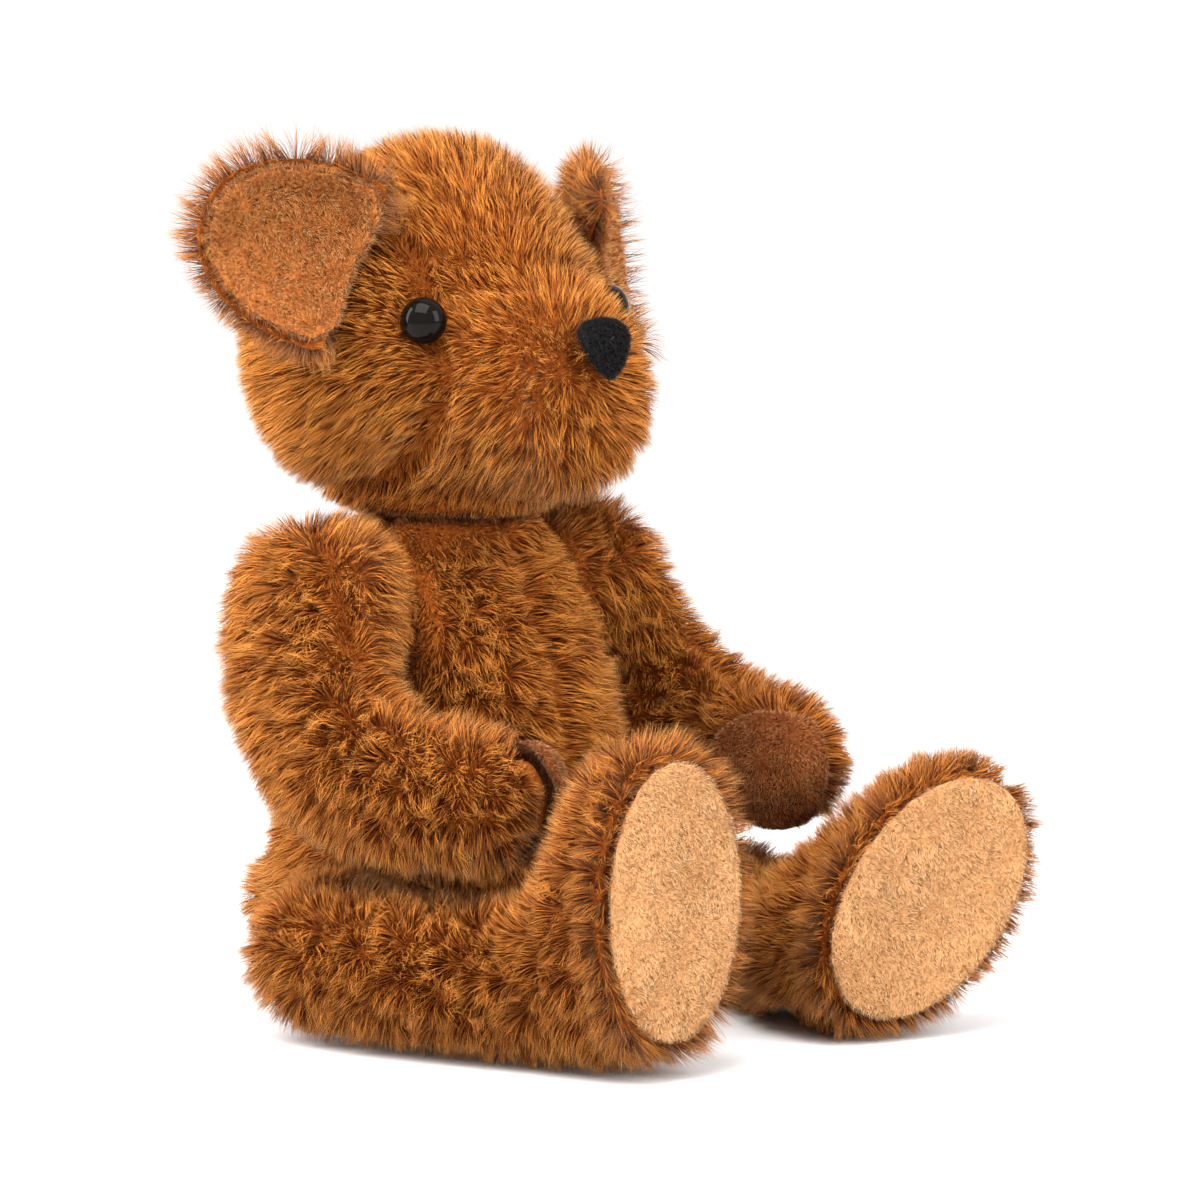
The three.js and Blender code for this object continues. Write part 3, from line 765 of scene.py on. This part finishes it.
def dress(name, body, inside, panels, comb_of, replaced, folds=(), bare=(), beside=(), edged_by=(),
          recipe="fur"):
    """One stuffed bag. Its `bare` panels are sewn on later, and grow no fur. Its pile is pressed
    short where it lies against the nodes `beside` it, and stands full length round the nodes that
    it is `edged_by`."""
    skin, room = even_skin(name, inside, skin_grain, fur_inset, 6, beside, edged_by)
    group = Panels(panels + list(bare))
    panel, seam = group.read(vertex_places(skin.data))
    filled(skin, seam, air_pressure, most_swell)
    pressed(skin, seam, seam_depth)
    for points, width, depth in folds:
        weight = fold_weight(vertex_places(skin.data), points, width)
        pressed(skin, weight, depth)
        # A fold joins the seams: its pile parts, shortens, and is painted darker as shade in the
        # crease.
        seam = np.maximum(seam, weight * fold_parting)
    skin.data.materials.clear()
    skin.data.materials.append(brown_backing)
    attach(skin, body)
    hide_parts(*replaced)
    for index, node in enumerate(panels):
        pile = grow(node + "_pile", skin, panel == index, seam, comb_of, recipe, fur_pile,
                    pressed_length + (1 - pressed_length) * room)
        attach(pile, body)
        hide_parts(node)


# %% Dressing the head
muzzle_tip = nose_middle + np.array([0, 0.01, -0.01])


def head_comb(places):
    away = unit(places - muzzle_tip)
    return away + np.array([0, 0.25, -0.55])


eye_right_middle = middle_of("eye_right")
head_y = head_middle[1]
eye_y, eye_z = eye_right_middle[1], eye_right_middle[2]
brow = [tuple(eye_right_middle + (0.004, -0.004, 0.009)),
        (mid_x - 0.020, eye_y - 0.015, eye_z + 0.017),
        (mid_x, eye_y - 0.020, eye_z + 0.020)]
eye_hollow = [tuple(eye_right_middle), tuple(eye_right_middle + (0.002, 0, 0.002))]
head_folds = []
for line in both_sides(brow):
    head_folds.append((line, 7 * mm, 4.5 * mm))
for line in both_sides(eye_hollow):
    head_folds.append((line, 9 * mm, 2 * mm))
head_panels = ["head_centre", "head_side_left", "head_side_right"]
dress("head_stuffing", "head", head_panels + ["head_filling", "neck_disc"], head_panels,
      head_comb, ["head_filling"], head_folds,
      beside=["body_front_left", "body_front_right", "body_back_left", "body_back_right"],
      recipe="face")

# %% [markdown]
# ## The body
# Four panels make the body. Its pile is brushed straight down, and the seam in the middle of the
# front shows as a long parting.

# %% Dressing the body and the tail
body_panels = ["body_front_left", "body_front_right", "body_back_left", "body_back_right"]
washers = ["neck_washer", "shoulder_washer_left", "shoulder_washer_right",
           "hip_washer_left", "hip_washer_right"]


def downwards(places):
    outward = places - np.array([mid_x, head_y, 0])
    return np.stack([outward[:, 0] * 2, outward[:, 1] * 2, np.full(len(places), -1.0)], axis=1)


def tail_comb(places):
    return np.tile([0.0, 0.7, -0.7], (len(places), 1))


around_body = ["head_centre", "head_side_left", "head_side_right", "arm_inner_left", "arm_inner_right",
               "leg_inner_left", "leg_inner_right"]
dress("body_stuffing", "torso", body_panels + ["body_filling"] + washers, body_panels, downwards,
      ["body_filling"], beside=around_body)
dress("tail_stuffing", "torso", ["tail_cover", "tail_filling"], ["tail_cover"], tail_comb,
      ["tail_filling"], beside=["body_back_left", "body_back_right"])

# %% [markdown]
# ## Arms and legs
# A limb's pile is brushed along the limb, towards the paw. The line of the limb isn't straight, so
# the comb at a point is the direction of the nearest stretch of that line. Round a sole the skin
# stays full, so that a rim of fur frames the sole.


# %% The comb of a limb
def limb_comb(line, droop):
    line = np.array(line)
    middles = (line[1:] + line[:-1]) / 2
    runs = unit(line[1:] - line[:-1])

    def comb(places):
        gap = np.linalg.norm(places[:, None] - middles[None], axis=2)
        share = np.exp(-((gap / 0.03) ** 2)) + 1e-9
        run = (share[:, :, None] * runs[None]).sum(1) / share.sum(1)[:, None]
        return unit(run) + np.array([0, 0, -droop])

    return comb


# %% Dressing the arms and legs
limb_apart = 0.066  # from the bear's middle to the line of a limb


for side, sign in (("left", 1), ("right", -1)):
    low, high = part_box(f"arm_filling_{side}")
    out = mid_x + sign * limb_apart
    arm_line = [(out, high.y - 0.03, high.z), (out, high.y - 0.04, 0.12), (out, high.y - 0.06, 0.098),
                (out, low.y + 0.04, 0.088), (out, low.y - 0.02, 0.088)]
    arm_panels = [f"arm_outer_{side}", f"arm_inner_{side}"]
    pad = f"paw_pad_{side}"
    arm_all = arm_panels + [f"arm_filling_{side}", f"shoulder_disc_{side}", pad]
    dress(f"arm_stuffing_{side}", f"arm_{side}", arm_all, arm_panels, limb_comb(arm_line, 0.35),
          [f"arm_filling_{side}"], bare=[pad], beside=[f"body_front_{side}", f"body_back_{side}"])
    leg_line = [(out, 0.05, 0.03), (out, -0.04, 0.03), (out, -0.08, 0.045), (out, -0.11, 0.05),
                (out, -0.14, 0.05)]
    leg_panels = [f"leg_outer_{side}", f"leg_inner_{side}"]
    leg_all = leg_panels + [f"leg_filling_{side}", f"hip_disc_{side}"]
    dress(f"leg_stuffing_{side}", f"leg_{side}", leg_all, leg_panels, limb_comb(leg_line, 0.2),
          [f"leg_filling_{side}"], bare=[f"sole_{side}"],
          beside=[f"body_front_{side}", f"body_back_{side}"], edged_by=[f"sole_{side}"])

# %% [markdown]
# ## Short-pile panels
# The soles and the paw pads are a short, dense velvet, the nose is a black one, and the linings of
# the ears are a little longer and curlier. Such hairs are too short to hide the cloth, so the
# cloth gets their colour. Each piece keeps the frame's thin solid, made even and a little smaller.


# %% Short-pile pieces
def short_panel(node, body, voxel, inset, recipe, pile, backing, comb_of, folds=()):
    skin, _ = even_skin(node + "_cloth", [node], voxel, inset, 2)
    for points, width, depth in folds:
        pressed(skin, fold_weight(vertex_places(skin.data), points, width), depth)
    skin.data.materials.clear()
    skin.data.materials.append(backing)
    count = len(skin.data.vertices)
    hair = grow(node + "_pile", skin, np.ones(count, bool), np.zeros(count), comb_of, recipe, pile)
    for piece in (skin, hair):
        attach(piece, body)
    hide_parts(node)


def steady(x, y, z):
    return lambda places: np.tile([x, y, z], (len(places), 1)).astype(float)


for side, sign in (("left", 1), ("right", -1)):
    short_panel(f"sole_{side}", f"leg_{side}", 1.3 * mm, 0.6 * mm, "velvet", tan_pile,
                tan_backing, steady(0.1 * sign, 0, -1))
    short_panel(f"paw_pad_{side}", f"arm_{side}", 1.2 * mm, 0.4 * mm, "velvet", pad_pile,
                paw_backing, steady(0, -0.6, -1))
short_panel("nose", "head", 0.7 * mm, 0.2 * mm, "nose", nose_pile,
            black_backing, steady(0, 0.3, -1))

# %% [markdown]
# ## The ears
# Each ear is a cup of fur outside and a curly short pile inside. Its fur is brushed outwards from
# the head, so it makes a fringe round the lining, and a shallow hollow creases the lining.


# %% Dressing the ears
towards_head = 0.55  # where an ear's pile fans out from, behind the ear towards the head's middle


for side, sign in (("left", 1), ("right", -1)):
    root = (middle_of(f"ear_back_{side}") + head_middle * towards_head) / (1 + towards_head)

    def away_from_root(places, root=root):
        return unit(places - root)

    back, _ = even_skin(f"ear_stuffing_{side}", [f"ear_back_{side}"], 1.6 * mm, 1.0 * mm, 3)
    back.data.materials.clear()
    back.data.materials.append(brown_backing)
    group = Panels([f"ear_back_{side}", f"ear_lining_{side}"])
    places = vertex_places(back.data)
    gap_to_lining = np.array([group.trees[1].find_nearest(Vector(place))[3] for place in places])
    outer = gap_to_lining > 1.6 * mm
    hair = grow(f"ear_back_{side}_pile", back, outer, np.zeros(len(places)), away_from_root,
                "fur", fur_pile)
    for piece in (back, hair):
        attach(piece, "head")
    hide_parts(f"ear_back_{side}")
    lining_middle = middle_of(f"ear_lining_{side}")
    hollow = [tuple(lining_middle * 0.45 + root * 0.55), tuple(lining_middle + (0, 0, 0.006))]
    short_panel(f"ear_lining_{side}", "head", 1.2 * mm, 0.3 * mm, "curly", lining_pile,
                lining_backing, away_from_root, [(hollow, 5 * mm, 1.2 * mm)])

# %% [markdown]
# ## The eyes
# A toy's safety eye is a moulded black dome on a stem. The dome is turned from a profile with many
# steps, because a glossy surface shows every facet, and its rim sits down in the pile.

# %% The eyes' glossy black
eye_black = bpy.data.materials.new("eye_black")
eye_black.use_nodes = True
eye_shader = eye_black.node_tree.nodes["Principled BSDF"]
eye_noise = eye_black.node_tree.nodes.new("ShaderNodeTexNoise")
eye_noise.inputs["Scale"].default_value = 300
eye_colours = [(0.3, (0.002, 0.0015, 0.0012)), (0.8, (0.006, 0.004, 0.003))]
eye_colour = ramp(eye_black.node_tree, eye_noise.outputs["Fac"], eye_colours)
eye_black.node_tree.links.new(eye_colour, eye_shader.inputs["Base Color"])
eye_shader.inputs["Roughness"].default_value = 0.03
eye_shader.inputs["Specular IOR Level"].default_value = 0.1

# %% Turning the eyes
eye_dome = 6 * mm
eye_sunk = 1.8 * mm  # into the pile, below the frame's eye
eye_segments = 48


def seat_of(node):
    """Where the frame's eye sits: the middle of its rim, the way it faces and its radius."""
    places = vertex_places(nodes[node].data)
    away = unit((middle_of(node) - head_middle)[None])[0]
    height = places @ away
    rim = height > height.min() + 0.6 * (height.max() - height.min())
    centre = places[rim].mean(0)
    radius = np.linalg.norm(places - centre - ((places - centre) @ away)[:, None] * away, axis=1).max()
    base = centre + away * (height.max() - eye_dome - eye_sunk - centre @ away)
    return base, away, radius


def turned(profile, base, away, radius):
    """A closed mesh, turned from pairs of a share of the radius and a height in millimetres."""
    side_way = unit(np.cross(away, [0, 0, 1])[None])[0]
    up_way = np.cross(side_way, away)
    work = bmesh.new()
    rings = []
    for share, level in profile:
        middle = base + away * level * mm
        if share < 1e-6:
            rings.append([work.verts.new(middle)])
            continue
        ring = []
        for step in range(eye_segments):
            angle = 2 * pi * step / eye_segments
            out = side_way * cos(angle) + up_way * sin(angle)
            ring.append(work.verts.new(middle + out * share * radius))
        rings.append(ring)
    for lower, upper in zip(rings[:-1], rings[1:]):
        for step in range(eye_segments):
            following = (step + 1) % eye_segments
            corners = [lower[step % len(lower)], lower[following % len(lower)],
                       upper[following % len(upper)], upper[step % len(upper)]]
            work.faces.new(list(dict.fromkeys(corners)))
    bmesh.ops.recalc_face_normals(work, faces=work.faces)
    return work


def turned_eye(side):
    node = f"eye_{side}"
    base, away, radius = seat_of(node)
    profile = [(0, -2.5), (0.8, -2.5), (0.97, -1.6), (1.0, -0.6)]
    profile += [(cos(angle), eye_dome / mm * sin(angle)) for angle in np.linspace(0, pi / 2, 15)]
    work = turned(profile, base, away, radius)
    mesh = bpy.data.meshes.new(node + "_dome")
    work.to_mesh(mesh)
    work.free()
    for polygon in mesh.polygons:
        polygon.use_smooth = True
    mesh.materials.append(eye_black)
    eye = bpy.data.objects.new(node + "_dome", mesh)
    bpy.context.scene.collection.objects.link(eye)
    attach(eye, "head")
    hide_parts(node)
    print(node, "has a radius of", round(float(radius) / mm, 1), "mm")


for side in ("left", "right"):
    turned_eye(side)

# %% [markdown]
# ## The joints
# The discs, washers and lock rings are moulded in milky plastic and lie out of sight in the
# filling. They keep the shape that the frame gives them and only need their finish.

# %% Milky plastic for the hidden joints
milky = bpy.data.materials.new("milky_plastic")
milky.use_nodes = True
milky_shader = milky.node_tree.nodes["Principled BSDF"]
milky_noise = milky.node_tree.nodes.new("ShaderNodeTexNoise")
milky_noise.inputs["Scale"].default_value = 400
milky_colours = [(0.3, (0.62, 0.62, 0.58)), (0.7, (0.72, 0.72, 0.68))]
milky_colour = ramp(milky.node_tree, milky_noise.outputs["Fac"], milky_colours)
milky.node_tree.links.new(milky_colour, milky_shader.inputs["Base Color"])
milky_shader.inputs["Roughness"].default_value = 0.45
for node, piece in nodes.items():
    if any(word in node for word in ("disc", "washer", "lock_ring")):
        piece.data.materials.clear()
        piece.data.materials.append(milky)
